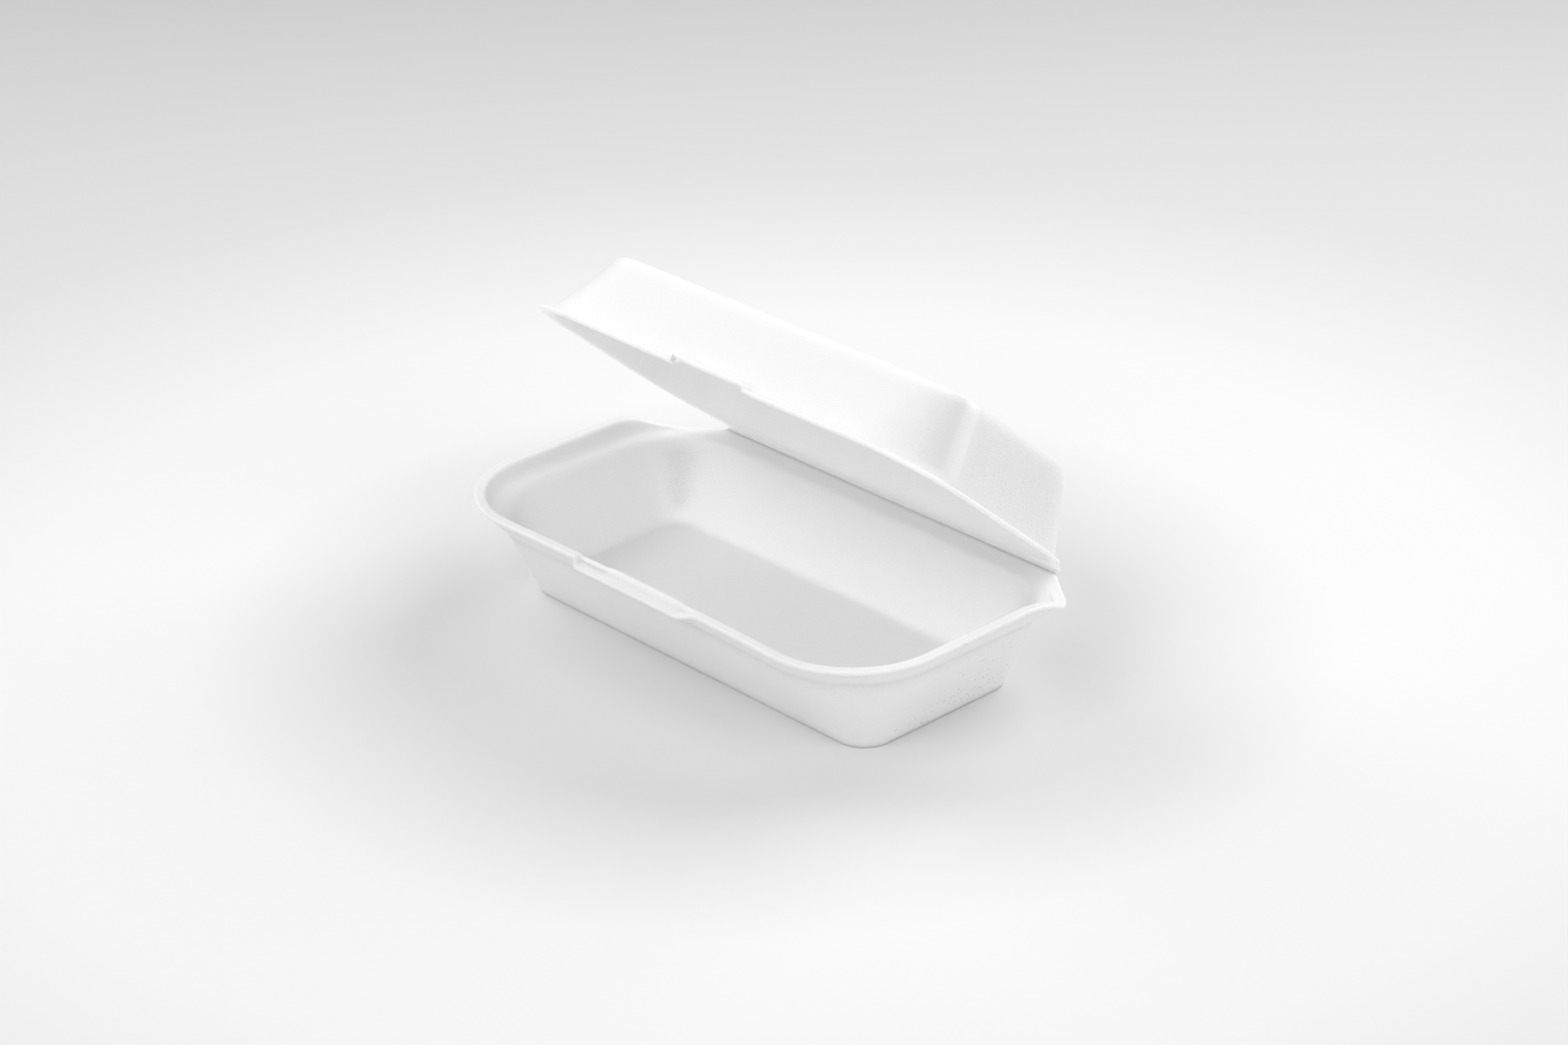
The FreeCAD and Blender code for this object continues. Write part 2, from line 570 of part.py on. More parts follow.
def lid_crease(body):
    """Room about the hinge line, so that the flange clears the bent web at every angle."""
    sketch = new_sketch(body, "crease_room_profile", "YZ_Plane")
    radius = f"{CREASE_RADIUS} + Sizes.crease_clearance"
    middle = point(value("Sizes.crease_reach"), value(CREASE_AXIS))
    sketch.addGeometry(Part.Circle(middle, FreeCAD.Vector(0, 0, 1), value(radius)), False)
    bind(sketch, "axis_across", "Sizes.crease_reach", "DistanceX", -1, 1, 0, 3)
    bind(sketch, "axis_up", CREASE_AXIS, "DistanceY", -1, 1, 0, 3)
    bind(sketch, "room", radius, "Radius", 0)
    pocket_across(body, "crease_room", sketch, "Sizes.rim_length")
    doc.recompute()


def latch_flap(body):
    """The lid's half of the latch: a strip of flange cut free at its left and bent up."""
    edge = f"-Sizes.front_reach + {LID_INSET}"
    wall = f"-Sizes.front_reach + {LID_WALL_INSET} + Sizes.lid_wall_run"
    lifted = f"{LID_BASE} + Sizes.flap_lift"
    length = "Sizes.flap_right - Sizes.flap_left"
    below = f"{LID_BASE} - Sizes.flange_thickness"
    away = f"{edge} - Sizes.tool_overrun"
    joined = f"{wall} - Sizes.flap_bite"
    room = new_sketch(body, "flap_room_profile", "YZ_Plane", "Sizes.flap_left")
    polygon(room, [("near", away, below), ("deep", wall, below), ("top", wall, lifted),
                   ("high", away, lifted)])
    cut = body.newObject("PartDesign::Pocket", "flap_room")
    cut.Profile = room
    cut.Reversed = True
    cut.Length = value(length)
    cut.setExpression("Length", length)
    strip = new_sketch(body, "flap_profile", "YZ_Plane", "Sizes.flap_left")
    strip_top = f"{lifted} + Sizes.flange_thickness"
    polygon(strip, [("near", edge, lifted), ("deep", joined, lifted), ("top", joined, strip_top),
                    ("high", edge, strip_top)])
    pad(body, "latch_flap", strip, length)
    doc.recompute()


def make_lid():
    body = new_body("lid")
    lid_shell(body)
    lid_crease(body)
    latch_flap(body)
    hinge = FreeCAD.Vector(0, value("Sizes.crease_reach"), value(CREASE_AXIS))
    turn = FreeCAD.Rotation(FreeCAD.Vector(1, 0, 0), -value("Sizes.open_angle"))
    body.Placement = FreeCAD.Placement(hinge - turn.multVec(hinge), turn)
    return body


def check_and_write(bodies):
    doc.recompute()
    for item in doc.Objects:
        if "Invalid" in item.State or "Error" in item.State:
            raise RuntimeError(f"{item.Name} failed: {item.State}")
    os.makedirs("parts", exist_ok=True)
    for body in bodies:
        shape = body.Shape
        if shape.isNull() or not shape.isValid():
            raise RuntimeError(f"{body.Label} has no valid shape")
        print(body.Label, "solids", len(shape.Solids), "volume", round(shape.Volume, 1))
        shape.exportStep(f"parts/{body.Label}.step")


check_and_write([make_tray(), make_lid()])
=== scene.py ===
import math

import bmesh
import bpy
from mathutils import Matrix, Vector, noise


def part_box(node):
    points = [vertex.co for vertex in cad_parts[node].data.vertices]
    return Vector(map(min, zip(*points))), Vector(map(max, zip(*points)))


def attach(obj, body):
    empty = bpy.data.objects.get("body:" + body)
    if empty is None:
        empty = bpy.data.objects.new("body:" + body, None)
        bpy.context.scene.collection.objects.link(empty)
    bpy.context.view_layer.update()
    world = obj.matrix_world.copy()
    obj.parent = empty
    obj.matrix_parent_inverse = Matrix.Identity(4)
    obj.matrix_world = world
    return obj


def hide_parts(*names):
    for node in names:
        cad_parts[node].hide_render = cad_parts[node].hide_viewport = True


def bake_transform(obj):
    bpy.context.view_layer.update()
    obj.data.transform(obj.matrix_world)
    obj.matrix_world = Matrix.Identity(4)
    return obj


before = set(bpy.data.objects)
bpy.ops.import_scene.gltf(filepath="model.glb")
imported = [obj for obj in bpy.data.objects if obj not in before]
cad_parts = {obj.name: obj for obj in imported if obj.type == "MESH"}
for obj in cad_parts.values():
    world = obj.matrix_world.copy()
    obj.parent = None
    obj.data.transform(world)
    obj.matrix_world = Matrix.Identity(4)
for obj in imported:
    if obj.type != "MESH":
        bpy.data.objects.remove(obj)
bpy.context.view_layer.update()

MM = 0.001

# The box's main sizes, in millimetres, as the foam maker's drawing would give them
RIM_HALF = 95.0
RIM_HEIGHT = 36.2
FRONT_REACH = 55.0
FRONT_BOW = 1530.0
NEARLY_STRAIGHT = 200000.0
FRONT_CORNER = 33.4
CREASE_REACH = 52.6
CREASE_HALF = 74.0
CREASE_HEIGHT = 29.1
CREASE_INNER = 0.3
CREASE_OUTER = 1.8
CREASE_RIDGE = 0.15
CREASE_GAP = 1.2
SKIN = 1.2
SHEET = 2.2
LEDGE = 28.5
LEDGE_SLOPE = math.tan(math.radians(1.8))
LEDGE_PIVOT = 57.6
RAMP_START = 17.0
RAMP_END = 48.0
SHOULDER_ROUNDING = 4.7
SHOULDER_DROP = 3.3
TRAY_BACK_CORNER = 24.0
RIM_CUT_ANGLE = 38.0
RIM_BACK_CORNER = 20.0
LID_CUT_ANGLE = 54.0
LID_BACK_CORNER = 40.0
LID_INSET = 4.9
LID_DEPTH = 27.3
OPEN_ANGLE = 40.4

# Half length, front, back and corner radius of the flat faces, in millimetres
FOOT = (76.85, -33.1, 33.1, 10.0)
LID_TOP = (79.5, -34.5, 37.2)
LID_TOP_CORNER = 18.5
LID_TIGHT_CORNER = 16.0

# Latch tongue on the tray's front rim, and the flap on the lid's front flange
TONGUE_CUT = -26.8
TONGUE_FULL = 18.8
TONGUE_END = 28.4
TONGUE_REACH = 1.4
TONGUE_DROP = 3.0
TONGUE_CREST = 1.0
TONGUE_TWIST = 1.4
FLAP_CUT = -14.6
FLAP_END = 16.6
FLAP_LIFT = 1.7
FLAP_TIP = 1.7
FLAP_NOTCH = 1.2
LID_WALL_LEAN = 12.6 / 26.1

# The pressed band at the lid's right front corner: its depth and the middle that it faces away from
PINCH_DEPTH = 0.5
PINCH_MIDDLE = (58.0, -22.0)
PINCH_RISE = 6.0

# The sheet's slight waviness: how long the waves are and how far they reach, the same in every run
DRIFT_SPAN = 30.0
DRIFT_DEPTH = 0.06
DRIFT_SEED = 5
noise.seed_set(DRIFT_SEED)

# Edges that turn by more than this stay crisp
CRISP_ANGLE = math.radians(38.0)

# How finely each stretch of an outline is divided
FRONT_STEP = 1.0
CUT_WIDTH = 0.03
CORNER_STEPS = 44
SIDE_STEPS = 26
BACK_CORNER_STEPS = 30
CREASE_STEPS = 40
SIDE_COUNT = CORNER_STEPS + SIDE_STEPS + BACK_CORNER_STEPS

# An eased bend takes at most this share of the way to the next ring, and this much of a station
EASE_LIMIT = 0.45
EASE_SHARE = 0.1


def smooth_step(value, low, high):
    """0 before low, 1 after high and an even curve between."""
    t = min(max((value - low) / (high - low), 0.0), 1.0)
    return t * t * (3.0 - 2.0 * t)


def front_fractions():
    """Places along the front of an outline, from -1 at the left to 1 at the right.

    Each cut of the latch has two places almost at one spot, so that the cut end can stand upright.
    """
    reach = FRONT_BOW * (RIM_HALF - FRONT_CORNER) / (FRONT_BOW + FRONT_CORNER)
    count = round(reach / FRONT_STEP)
    places = [index / count for index in range(-count, count + 1)]
    for cut in (TONGUE_CUT, FLAP_CUT, FLAP_END):
        spot = cut / reach
        near = min(range(len(places)), key=lambda index: abs(places[index] - spot))
        places[near] = spot - CUT_WIDTH / reach
        places.insert(near + 1, spot + CUT_WIDTH / reach)
    return places


FRONT = front_fractions()


def plan_outline(half, front, back, corner, back_corner, bow=NEARLY_STRAIGHT, slant=None,
                 back_half=None):
    """An outline seen from above, as points in the same order and number for every outline.

    It runs along the front from left to right, then round the right side, the back and the left side.
    """
    corner_x = half - corner
    bow_middle = front - bow
    reach = bow + corner
    turn = math.acos(corner_x / reach)
    corner_y = bow_middle + reach * math.sin(turn)
    bow_end = bow * math.cos(turn)
    ends = []
    for fraction in FRONT:
        x = fraction * bow_end
        ends.append((x, bow_middle + math.sqrt(bow * bow - x * x)))
    right = []
    for index in range(1, CORNER_STEPS + 1):
        angle = math.pi + turn + (math.pi - turn) * index / CORNER_STEPS
        right.append((corner_x + corner * math.cos(angle), corner_y + corner * math.sin(angle)))
    cut = math.radians(slant) if slant else 0.0
    centre_x = half - back_corner
    if slant:
        centre_y = back - (back_corner + (centre_x - back_half) * math.sin(cut)) / math.cos(cut)
    else:
        centre_y = back - back_corner
        back_half = centre_x
    for index in range(1, SIDE_STEPS + 1):
        right.append((half, corner_y + (centre_y - corner_y) * index / SIDE_STEPS))
    arc_turn = math.pi / 2 - cut
    arc_length = back_corner * arc_turn
    arc_end = (centre_x + back_corner * math.sin(cut), centre_y + back_corner * math.cos(cut))
    slant_length = math.hypot(back_half - arc_end[0], back - arc_end[1])
    whole = arc_length + slant_length
    for index in range(1, BACK_CORNER_STEPS + 1):
        along = whole * index / BACK_CORNER_STEPS
        if along <= arc_length:
            angle = along / back_corner
            x = centre_x + back_corner * math.cos(angle)
            y = centre_y + back_corner * math.sin(angle)
        else:
            part = (along - arc_length) / slant_length
            x = arc_end[0] + (back_half - arc_end[0]) * part
            y = arc_end[1] + (back - arc_end[1]) * part
        right.append((x, y))
    crease = []
    for index in range(1, CREASE_STEPS):
        crease.append((back_half * (1.0 - 2.0 * index / CREASE_STEPS), back))
    left = [(-x, y) for x, y in reversed(right)]
    return ends + right + crease + left


def rim_outline(inset, forward=0.0):
    """An outline that follows the rim's cut edge, with its back line moved forward."""
    angle = math.radians(RIM_CUT_ANGLE)
    back_half = CREASE_HALF - inset / math.sin(angle) + forward / math.tan(angle)
    return plan_outline(RIM_HALF - inset, -FRONT_REACH + inset, CREASE_REACH - forward,
                        FRONT_CORNER - inset, RIM_BACK_CORNER - inset, FRONT_BOW + inset,
                        RIM_CUT_ANGLE, back_half)


def shell_outline(inset, back_inset, corner, back_corner):
    """An outline of the sloped walls, bowed at the front and round at all four corners."""
    return plan_outline(RIM_HALF - inset, -FRONT_REACH + inset, CREASE_REACH - back_inset,
                        corner, back_corner, FRONT_BOW + inset)


def flat_outline(half, front, back, corner, inset=0.0):
    """A rounded rectangle, as the foot, the floor and the lid's top have."""
    return plan_outline(half - inset, front + inset, back - inset, corner - inset, corner - inset)


def foot_outline(inset=0.0):
    return flat_outline(*FOOT, inset)


def lid_top_outline(inset=0.0):
    """The lid's top; its right front corner is pressed tighter than the others."""
    tight = flat_outline(*LID_TOP, LID_TIGHT_CORNER, inset)
    loose = flat_outline(*LID_TOP, LID_TOP_CORNER, inset)
    return [one if one[0] >= 0.0 and one[1] < 0.0 else other for one, other in zip(tight, loose)]


def rim_level(y):
    """Height of the rim's upper face: level, then an even double bend down to the ledge."""
    run = (RAMP_END - RAMP_START) / 2
    rise = (RIM_HEIGHT - LEDGE) / 2
    radius = (run * run + rise * rise) / (2 * rise)
    if y <= RAMP_START:
        return RIM_HEIGHT
    if y >= RAMP_END:
        return LEDGE
    if y <= RAMP_START + run:
        return RIM_HEIGHT - radius + math.sqrt(radius * radius - (y - RAMP_START) ** 2)
    return LEDGE + radius - math.sqrt(radius * radius - (RAMP_END - y) ** 2)


def ledge_level(y):
    """Height of the ledge where it meets the rim's inner wall; it rises a little to the front."""
    return min(LEDGE + LEDGE_SLOPE * (LEDGE_PIVOT - y), rim_level(y))


def wall_bend(x, y):
    """Height of the bend between the sloped wall and the shoulder; lower near the crease."""
    return LEDGE - 0.9 - 1.5 * smooth_step(y, 36.0, 46.0)


def shoulder_top(x, y):
    """Height of the slanted shoulder under the rim; it follows the rim down its ramps."""
    tilted = RIM_HEIGHT - SHOULDER_DROP - LEDGE_SLOPE * (FRONT_REACH + y)
    return min(tilted, rim_level(y) - SKIN - 0.25)


def above_rim(drop):
    """The height of the rim's upper face, less a drop."""
    return lambda x, y: rim_level(y) - drop


def near_crease(y):
    """1 on the raised line beside the crease, else 0, with a soft step."""
    return smooth_step(y, CREASE_REACH - 1.9, CREASE_REACH - 1.6)


def crease_ridge(x, y):
    """Height of the rim's inner edge, with the raised line beside the crease."""
    return rim_level(y) + CREASE_RIDGE * near_crease(y)


def ledge_foot(x, y):
    """The same height for a place seen from above."""
    return ledge_level(y)


def ring(outline, height):
    """An outline lifted to a height, which is a number or follows the place."""
    if callable(height):
        return [Vector((x, y, height(x, y))) for x, y in outline]
    return [Vector((x, y, height)) for x, y in outline]


def rounded_rings(keys):
    """Rings along a wall's section, eased about each key ring.

    A key is (ring, how far the easing starts from it, steps of the easing, steps to the next key).
    Each ring comes with its station: the number of its key, or a part of the way to the next one.
    """
    rings = []
    last = len(keys) - 1
    for number, (places, ease, steps, _) in enumerate(keys):
        if number in (0, last) or steps == 0:
            eased = [places]
        else:
            before = keys[number - 1][0]
            after = keys[number + 1][0]
            eased = [[] for _ in range(steps + 1)]
            for spot, back, ahead in zip(places, before, after):
                to_back = back - spot
                to_ahead = ahead - spot
                start = spot + to_back * min(ease / max(to_back.length, 1e-6), EASE_LIMIT)
                end = spot + to_ahead * min(ease / max(to_ahead.length, 1e-6), EASE_LIMIT)
                for index in range(steps + 1):
                    t = index / steps
                    eased[index].append(start * (1 - t) ** 2 + spot * 2 * t * (1 - t) + end * t * t)
        if number:
            gap = keys[number - 1][3]
            first = rings[-1][1]
            for index in range(1, gap):
                t = index / gap
                station = number - 1.0 + EASE_SHARE + (1.0 - 2.0 * EASE_SHARE) * t
                rings.append((station, [a.lerp(b, t) for a, b in zip(first, eased[0])]))
        for index, places in enumerate(eased):
            shift = EASE_SHARE * (2 * index / steps - 1.0) if len(eased) > 1 else 0.0
            rings.append((number + shift, places))
    return rings


def skin_from_rings(rings, marks):
    """One closed skin through the rings, its two ends filled flat.

    Each mark is a surface value, such as a stretched corner, given by the station and the place round.
    """
    shape = bmesh.new()
    layers = {word: shape.verts.layers.float.new(word) for word in marks}
    count = len(rings[0][1])

    def mark(verts, station):
        for index, vert in enumerate(verts):
            for word, rule in marks.items():
                vert[layers[word]] = rule(station, index)

    made = bmesh.ops.create_circle(shape, cap_ends=False, radius=1.0, segments=count)
    loop = list(made["verts"])
    for vert, place in zip(loop, rings[0][1]):
        vert.co = place
    mark(loop, rings[0][0])
    edges = list(shape.edges)
    bmesh.ops.contextual_create(shape, geom=edges)
    for station, places in rings[1:]:
        made = bmesh.ops.extrude_edge_only(shape, edges=edges)
        fresh = {item for item in made["geom"] if isinstance(item, bmesh.types.BMVert)}
        edges = [item for item in made["geom"] if isinstance(item, bmesh.types.BMEdge)]
        following = []
        for vert, place in zip(loop, places):
            partner = next(e.other_vert(vert) for e in vert.link_edges if e.other_vert(vert) in fresh)
            partner.co = place
            following.append(partner)
        loop = following
        mark(loop, station)
        ring_verts = set(loop)
        edges = [e for e in edges if e.verts[0] in ring_verts and e.verts[1] in ring_verts]
    bmesh.ops.contextual_create(shape, geom=edges)
    return shape


def sheet_drift(spot):
    """The slight waviness of a formed foam sheet, in millimetres, none at the foot."""
    return noise.noise_vector(spot / DRIFT_SPAN) * DRIFT_DEPTH * smooth_step(spot.z, 0.5, 6.0)


def finish_shape(shape, name, limits, material):
    """Makes the mesh from a shape in millimetres, kept inside the frame's own box for that part."""
    bmesh.ops.recalc_face_normals(shape, faces=shape.faces)
    low, high = limits
    for vert in shape.verts:
        vert.co += sheet_drift(vert.co)
        vert.co *= MM
        for axis in range(3):
            vert.co[axis] = min(max(vert.co[axis], low[axis]), high[axis])
    for edge in shape.edges:
        edge.smooth = edge.calc_face_angle(0.0) < CRISP_ANGLE
    for face in shape.faces:
        face.smooth = True
    mesh = bpy.data.meshes.new(name)
    shape.to_mesh(mesh)
    shape.free()
    mesh.materials.append(material)
    piece = bpy.data.objects.new(name, mesh)
    bpy.context.scene.collection.objects.link(piece)
    return piece


# The tray

def in_tongue(x):
    """How much of the tongue's full form there is at a place along the front."""
    if x < TONGUE_CUT:
        return 0.0
    return 1.0 - smooth_step(x, TONGUE_FULL, TONGUE_END)


def crest_lift(x):
    """The raised line along the middle of the tongue's root."""
    return TONGUE_CREST * smooth_step(x, -15.0, -11.0) * (1.0 - smooth_step(x, 17.4, 20.4))


def bent_tongue(places, out, down, crest=False, twisted=False):
    """Front places of a ring, tipped outward and down where the tongue is cut free.

    The upper edge is still level at the cut and turns down over a short way from it.
    """
    bent = []
    for index, spot in enumerate(places):
        spot = spot.copy()
        if index < len(FRONT):
            share = in_tongue(spot.x)
            if twisted and share:
                share *= smooth_step(spot.x, TONGUE_CUT - 0.5, TONGUE_CUT + TONGUE_TWIST)
            spot.y -= out * share
            spot.z -= down * share
            if crest:
                spot.z += crest_lift(spot.x)
        bent.append(spot)
    return bent


def tray_rings():
    """The tray's skin: under the foot, up the outside, over the rim and down into the cavity.

    Stations: 0 under the foot, 1 the foot's edge, 2 the wall's bend, 3 the shoulder's top, 4 under
    the rim, 5 and 6 the cut edge, 7 the rim's inner edge, 8 the ledge's outer end, 9 the mouth,
    10 the floor's edge and 11 the floor.
    """
    wall_corner = FRONT_CORNER + SHOULDER_ROUNDING
    under_rim = above_rim(SKIN)
    cut_low = bent_tongue(ring(rim_outline(0.0), under_rim), TONGUE_REACH - 0.5, TONGUE_DROP - 0.1)
    cut_high = bent_tongue(ring(rim_outline(0.0), above_rim(0.0)), TONGUE_REACH, TONGUE_DROP,
                           twisted=True)
    inner_edge = bent_tongue(ring(rim_outline(4.0, 1.5), crease_ridge), 0.4, 0.0, crest=True)
    wall_top = shell_outline(6.2, 6.3, wall_corner - 6.2, TRAY_BACK_CORNER + 2.7)
    mouth = shell_outline(8.2, 9.0, wall_corner - 8.2, TRAY_BACK_CORNER)
    return rounded_rings([
        (ring(foot_outline(7.0), 0.0), 0.0, 0, 1),
        (ring(foot_outline(), 0.0), 0.0, 0, 8),
        (ring(wall_top, wall_bend), 2.0, 5, 2),
        (ring(rim_outline(2.2, 2.2), shoulder_top), 1.0, 3, 1),
        (ring(rim_outline(1.8, 1.8), under_rim), 0.15, 1, 2),
        (cut_low, 0.16, 2, 1),
        (cut_high, 0.3, 3, 2),
        (inner_edge, 1.5, 6, 2),
        (ring(rim_outline(4.4, 3.0), ledge_foot), 2.2, 5, 2),
        (ring(mouth, LEDGE), 2.2, 6, 8),
        (ring(foot_outline(1.5), SHEET), 4.2, 8, 1),
        (ring(foot_outline(8.4), SHEET), 0.0, 0, 1),
    ])


# The lid, drawn shut and then turned open about the crease

def lifted_flap(places, edge=0.0):
    """Front places of a ring, raised along the wall's slope where the latch flap is cut free.

    At the outer edge the left cut is slanted: the flap's tip reaches past the end of the flange.
    """
    bent = []
    for index, spot in enumerate(places):
        spot = spot.copy()
        if index < len(FRONT):
            from_cut = spot.x - FLAP_CUT
            if FLAP_CUT < spot.x < FLAP_END:
                lift = FLAP_LIFT - 0.5 * smooth_step(spot.x, FLAP_END - 3.0, FLAP_END)
                spot.z += lift
                spot.y += lift * LID_WALL_LEAN * (1.0 - 0.6 * edge)
                if from_cut < 0.5:
                    spot.x -= FLAP_TIP * edge
            elif -0.5 < from_cut < 0.0:
                spot.x += FLAP_NOTCH * edge
        bent.append(spot)
    return bent


def lid_outline(inset=LID_INSET, forward=0.0):
    """The lid's cut edge seen from above, shut, with its back line moved forward."""
    back_half = CREASE_HALF + forward / math.tan(math.radians(LID_CUT_ANGLE))
    return plan_outline(RIM_HALF - inset, -FRONT_REACH + inset, CREASE_REACH - forward,
                        FRONT_CORNER - inset, LID_BACK_CORNER, FRONT_BOW + inset,
                        LID_CUT_ANGLE, back_half)


def lid_rings():
    """The lid's skin: over the top, down the outside, round the flange and up into the cavity.

    Stations: 0 the top, 1 its edge, 2 the wall's foot, 3 and 4 the flange's cut edge, 5 and 6 under
    the flange, 7 the mouth, 8 the ceiling's edge and 9 the ceiling.
    """
    base = LEDGE + CREASE_GAP
    top = base + LID_DEPTH

    def ridge(x, y):
        return base - CREASE_RIDGE * near_crease(y)

    wall_foot = shell_outline(7.9, 5.0, FRONT_CORNER - 7.9, 24.0)
    mouth = shell_outline(10.3, 7.4, FRONT_CORNER - 10.3, 21.6)
    rings = rounded_rings([
        (ring(lid_top_outline(9.0), top), 0.0, 0, 1),
        (ring(lid_top_outline(), top), 2.6, 7, 8),
        (lifted_flap(ring(wall_foot, base + SKIN)), 0.8, 3, 2),
        (lifted_flap(ring(lid_outline(), base + SKIN), 1.0), 0.3, 3, 1),
        (lifted_flap(ring(lid_outline(), base), 1.0), 0.16, 2, 1),
        (lifted_flap(ring(lid_outline(6.2, 1.5), ridge), 0.6), 0.5, 2, 1),
        (lifted_flap(ring(lid_outline(7.4, 2.9), base), 0.3), 0.4, 2, 1),
        (lifted_flap(ring(mouth, base)), 1.6, 5, 8),
        (ring(lid_top_outline(1.5), top - SHEET), 3.0, 7, 1),
        (ring(lid_top_outline(10.0), top - SHEET), 0.0, 0, 1),
    ])
    hinge = Vector((0.0, CREASE_REACH, CREASE_HEIGHT))
    turn = Matrix.Rotation(math.radians(-OPEN_ANGLE), 3, "X")
    opened = []
    for station, places in rings:
        shaped = [spot + pinched_corner(station, index, spot) for index, spot in enumerate(places)]
        opened.append((station, [turn @ (spot - hinge) + hinge for spot in shaped]))
    return opened


def corner_share(index):
    """How far round the right front corner a place is: 0 where it starts and 1 at the end wall."""
    return (index - len(FRONT) + 1) / CORNER_STEPS


def bump(value, middle, width):
    """An even rise and fall about a middle."""
    return math.exp(-((value - middle) / width) ** 2)


def lid_pinch(station, index):
    """The pressed band down the lid's right front corner, from 0 to 1; its colour is darkened as painted
    shade.
    """
    if not 1.0 <= station <= 1.9:
        return 0.0
    down = station - 1.0
    share = corner_share(index)
    middle = 0.58 + 0.14 * down
    return bump(share, middle, 0.26 if share < middle else 0.10) * (1.0 - smooth_step(down, 0.75, 1.0))


def lid_ridge(station, index):
    """The narrow raised line beside that band."""
    if not 1.0 <= station <= 1.9:
        return 0.0
    return bump(corner_share(index), 0.79 + 0.12 * (station - 1.0), 0.042)


def pinched_corner(station, index, spot):
    """How far the lid's right front corner stands in or out of an even cone, shut."""
    depth = PINCH_DEPTH * (lid_ridge(station, index) - lid_pinch(station, index))
    outward = Vector((spot.x - PINCH_MIDDLE[0], spot.y - PINCH_MIDDLE[1], PINCH_RISE)).normalized()
    return outward * depth


# The crease between the tray and the lid

def crease_shape():
    """The bent strip of foam: a narrow band swept about the hinge line."""
    shape = bmesh.new()
    corners = [(-CREASE_HALF, CREASE_INNER), (CREASE_HALF, CREASE_INNER),
               (CREASE_HALF, CREASE_OUTER), (-CREASE_HALF, CREASE_OUTER)]
    verts = []
    for x, radius in corners:
        made = bmesh.ops.create_vert(shape, co=(x, CREASE_REACH, CREASE_HEIGHT - radius))
        verts.append(made["vert"][0])
    made = bmesh.ops.contextual_create(shape, geom=verts)
    bmesh.ops.spin(shape, geom=list(shape.faces) + list(shape.edges) + list(shape.verts),
                   cent=(0.0, CREASE_REACH, CREASE_HEIGHT), axis=(1.0, 0.0, 0.0),
                   angle=math.radians(180.0 - OPEN_ANGLE), steps=16, use_merge=False, use_duplicate=False)
    return shape


# Foam surface

# How light the foam is: its smooth skin's two tones, a speckle's bright and dark, a stretched place
# with painted shade in the same tone, and a cut edge
SKIN_TONES = (0.935, 0.965)
SPECKLE_TONES = (1.0, 0.72)
STRETCH_AND_SHADE_TONE = 0.62
CUT_TONE = 0.82
PINHOLE_COLOUR = (0.36, 0.35, 0.34)
SPECKLES_PER_METRE = 2100.0
BUMP_DEPTH = 0.00006


def grey(tone):
    return (tone, tone, tone)


def new_group(name, inputs, outputs):
    """An empty shader group with named number and vector sockets."""
    group = bpy.data.node_groups.new(name, "ShaderNodeTree")
    for label, kind, default in inputs:
        socket = group.interface.new_socket(name=label, in_out="INPUT", socket_type=f"NodeSocket{kind}")
        if default is not None:
            socket.default_value = default
    for label, kind in outputs:
        group.interface.new_socket(name=label, in_out="OUTPUT", socket_type=f"NodeSocket{kind}")
    return group, group.nodes.new("NodeGroupInput"), group.nodes.new("NodeGroupOutput")


def add(tree, kind, **settings):
    """A node with its settings and its plain socket values."""
    node = tree.nodes.new(kind)
    for word, content in settings.items():
        if word == "sockets":
            for label, number in content.items():
                node.inputs[label].default_value = number
        else:
            setattr(node, word, content)
    return node


def math_node(tree, operation, first, second):
    """A sum, product or other calculation of two values, each a socket or a number."""
    node = tree.nodes.new("ShaderNodeMath")
    node.operation = operation
    for index, item in enumerate((first, second)):
        if isinstance(item, (int, float)):
            node.inputs[index].default_value = item
        else:
            tree.links.new(item, node.inputs[index])
    return node.outputs[0]


def foam_cells_group():
    """Fine closed cells under a smooth skin, and the soft grain over them."""
    group, enter, leave = new_group(
        "foam_cells",
        [("Place", "Vector", None), ("Cells per Metre", "Float", 2200.0),
         ("Grain per Metre", "Float", 5200.0)],
        [("Height", "Float"), ("Tone", "Float")])
    cells = add(group, "ShaderNodeTexVoronoi", feature="SMOOTH_F1")
    grain = add(group, "ShaderNodeTexNoise", sockets={"Detail": 3.0, "Roughness": 0.65})
    broad = add(group, "ShaderNodeTexNoise", sockets={"Scale": 55.0, "Detail": 2.0})
    for node in (cells, grain, broad):
        group.links.new(enter.outputs["Place"], node.inputs["Vector"])
    group.links.new(enter.outputs["Cells per Metre"], cells.inputs["Scale"])
    group.links.new(enter.outputs["Grain per Metre"], grain.inputs["Scale"])
    hollow = math_node(group, "MULTIPLY", cells.outputs["Distance"], 0.7)
    height = math_node(group, "ADD", hollow, math_node(group, "MULTIPLY", grain.outputs[0], 0.5))
    tone = math_node(group, "ADD", math_node(group, "MULTIPLY", grain.outputs[0], 0.5),
                     math_node(group, "MULTIPLY", broad.outputs[0], 0.5))
    group.links.new(height, leave.inputs["Height"])
    group.links.new(tone, leave.inputs["Tone"])
    return group


